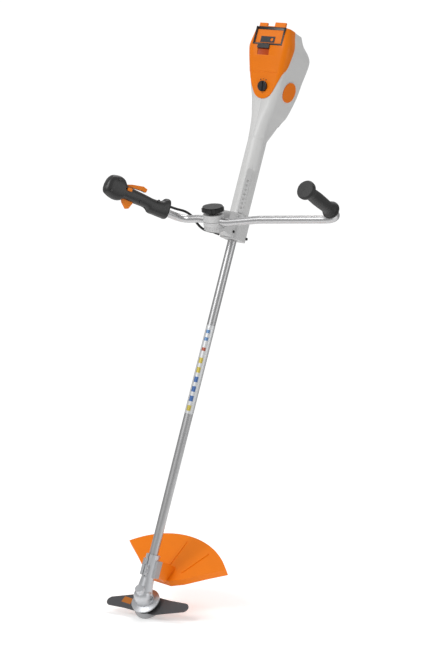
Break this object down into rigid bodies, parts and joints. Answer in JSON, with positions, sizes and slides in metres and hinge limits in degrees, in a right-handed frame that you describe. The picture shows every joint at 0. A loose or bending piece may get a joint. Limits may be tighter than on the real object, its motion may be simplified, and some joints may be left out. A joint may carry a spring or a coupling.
{
  "type": "battery brush cutter",
  "caption": "Battery brush cutter with a two-handed bar, straight drive tube, rear motor and battery unit, angled gear head, two-wing grass blade and curved guard.",
  "frame": {"origin": "on the axis of the drive tube at the balance point, 900 mm above the centre of the bevel gears", "axes": "+Z along the drive tube towards the motor and battery, -Y to the upper side in use where the handlebar is, +X to the operator's left"},
  "size_m": [0.6771, 0.5339, 1.7411],
  "materials": {
    "cast_alloy": "sand-cast, bead blasted",
    "screw_steel": "zinc plated",
    "bearing_steel": "ground",
    "black_rubber": "moulded",
    "orange_plastic": "fine moulded texture",
    "guard_bracket_plastic": "glass filled",
    "tube_aluminium": "drawn, clear anodised",
    "nylon": "natural",
    "label_film": "printed film with plain colour blocks",
    "housing_plastic": "fine moulded texture",
    "bracket_plastic": "fine moulded texture",
    "dark_screws": "black oxide",
    "clamp_plastic": "cast, blasted",
    "vent_plastic": "moulded",
    "black_plastic": "moulded",
    "badge_orange": "satin, plain ring",
    "motor_steel": "laminated",
    "board_green": "potted board",
    "contact_brass": "plain",
    "rail_steel": "zinc plated",
    "cable_black": "extruded",
    "shaft_steel": "drawn",
    "gear_steel": "case hardened",
    "coupling_steel": "turned",
    "fan_plastic": "moulded",
    "thrust_black": "black coated",
    "blade_steel": "dark lacquer, worn edges",
    "rider_steel": "pressed, zinc plated",
    "nut_steel": "yellow zinc",
    "bar_aluminium": "drawn, anodised",
    "grip_rubber": "textured",
    "handle_plastic": "fine moulded texture",
    "pin_steel": "ground",
    "switch_plastic": "moulded",
    "spring_steel": "wire",
    "knob_plastic": "moulded",
    "orange_trigger": "moulded",
    "dial_black": "moulded",
    "battery_grey": "moulded",
    "panel_dark": "clear-coated"
  },
  "bodies": {
    "machine": {"gear_housing": "cast_alloy", "grease_plug": "screw_steel", "gear_bearings": "bearing_steel", "spindle_seal": "black_rubber", "head_screws": "screw_steel", "guard_shell": "orange_plastic", "guard_bracket": "guard_bracket_plastic", "drive_tube": "tube_aluminium", "shaft_bushings": "nylon", "tube_label": "label_film", "neck_sleeve": "housing_plastic", "support_shell_left": "bracket_plastic", "support_shell_right": "bracket_plastic", "support_screws": "dark_screws", "clamp_seat": "clamp_plastic", "housing_left": "housing_plastic", "housing_right": "housing_plastic", "housing_screws": "screw_steel", "vent_grille": "vent_plastic", "top_cover": "orange_plastic", "bay_frame": "black_plastic", "side_badge": "badge_orange", "motor_stator": "motor_steel", "motor_bearings": "bearing_steel", "controller_board": "board_green", "battery_contacts": "contact_brass", "carry_rail": "rail_steel", "cable_boot": "black_rubber", "control_cable": "cable_black"},
    "drive_train": {"drive_shaft": "shaft_steel", "pinion_gear": "gear_steel", "shaft_coupling": "coupling_steel", "motor_rotor": "motor_steel", "cooling_fan": "fan_plastic"},
    "cutter": {"bevel_gear": "gear_steel", "output_spindle": "shaft_steel", "thrust_plate": "thrust_black", "grass_blade": "blade_steel", "rider_plate": "rider_steel", "blade_nut": "nut_steel"},
    "handlebar": {"clamp_lower": "clamp_plastic", "clamp_upper": "clamp_plastic", "handlebar_tube": "bar_aluminium", "left_grip": "grip_rubber", "handle_shell_front": "handle_plastic", "handle_shell_rear": "handle_plastic", "handle_screws": "dark_screws", "handle_pins": "pin_steel", "trigger_switch": "switch_plastic", "trigger_spring": "spring_steel"},
    "knob": {"clamp_knob": "knob_plastic", "knob_stud": "screw_steel"},
    "trigger_body": {"trigger": "orange_trigger"},
    "lockout_body": {"lockout_lever": "orange_trigger"},
    "slider_body": {"unlock_slider": "orange_trigger"},
    "dial_body": {"speed_dial": "dial_black"},
    "latch_body": {"battery_latch": "black_plastic"},
    "battery": {"battery_case": "battery_grey", "battery_face": "orange_plastic", "charge_panel": "panel_dark"}
  },
  "joints": [
    {"name": "blade_spin", "type": "hinge", "parent": "machine", "child": "cutter", "pos_m": [0, 0, -0.9], "axis": [0, -0.788, 0.6157], "continuous": true},
    {"name": "motor_spin", "type": "hinge", "parent": "machine", "child": "drive_train", "pos_m": [0, 0, 0], "axis": [0, 0, 1], "continuous": true},
    {"name": "bar_swivel", "type": "hinge", "parent": "machine", "child": "handlebar", "pos_m": [0, -0.114, 0.1735], "axis": [0, -0.5, 0.866], "range_deg": [-25, 25], "deforming": ["control_cable"]},
    {"name": "knob_turn", "type": "hinge", "parent": "handlebar", "child": "knob", "pos_m": [0, -0.114, 0.1735], "axis": [0, -0.5, 0.866], "range_deg": [0, 360]},
    {"name": "trigger_press", "type": "hinge", "parent": "handlebar", "child": "trigger_body", "pos_m": [-0.19648, -0.29493, 0.17416], "axis": [0.8924, -0.4512, 0], "range_deg": [0, 10], "stiffness_Nm_per_rad": 0.6, "springref_deg": -14.32, "deforming": ["trigger_spring"]},
    {"name": "lockout_press", "type": "hinge", "parent": "handlebar", "child": "lockout_body", "pos_m": [-0.19321, -0.28847, 0.19883], "axis": [-0.8924, 0.4512, 0], "range_deg": [0, 5], "stiffness_Nm_per_rad": 0.6, "springref_deg": -14.32},
    {"name": "slider_move", "type": "slide", "parent": "handlebar", "child": "slider_body", "axis": [-0.4507, -0.8913, 0.0501], "range_m": [0, 0.005], "stiffness_N_per_m": 60, "springref_m": -0.003},
    {"name": "dial_turn", "type": "hinge", "parent": "machine", "child": "dial_body", "pos_m": [0, -0.0387, 0.595], "axis": [0, -0.9686, -0.2487], "range_deg": [-135, 135]},
    {"name": "latch_press", "type": "slide", "parent": "machine", "child": "latch_body", "axis": [0, 1, 0], "range_m": [0, 0.0014], "stiffness_N_per_m": 500, "springref_m": -0.002},
    {"name": "battery_slide", "type": "slide", "parent": "machine", "child": "battery", "axis": [0, 0, 1], "range_m": [0, 0.12]}
  ],
  "couplings": [
    {"joint": "motor_spin", "follows": "blade_spin", "ratio": 1.3333}
  ]
}
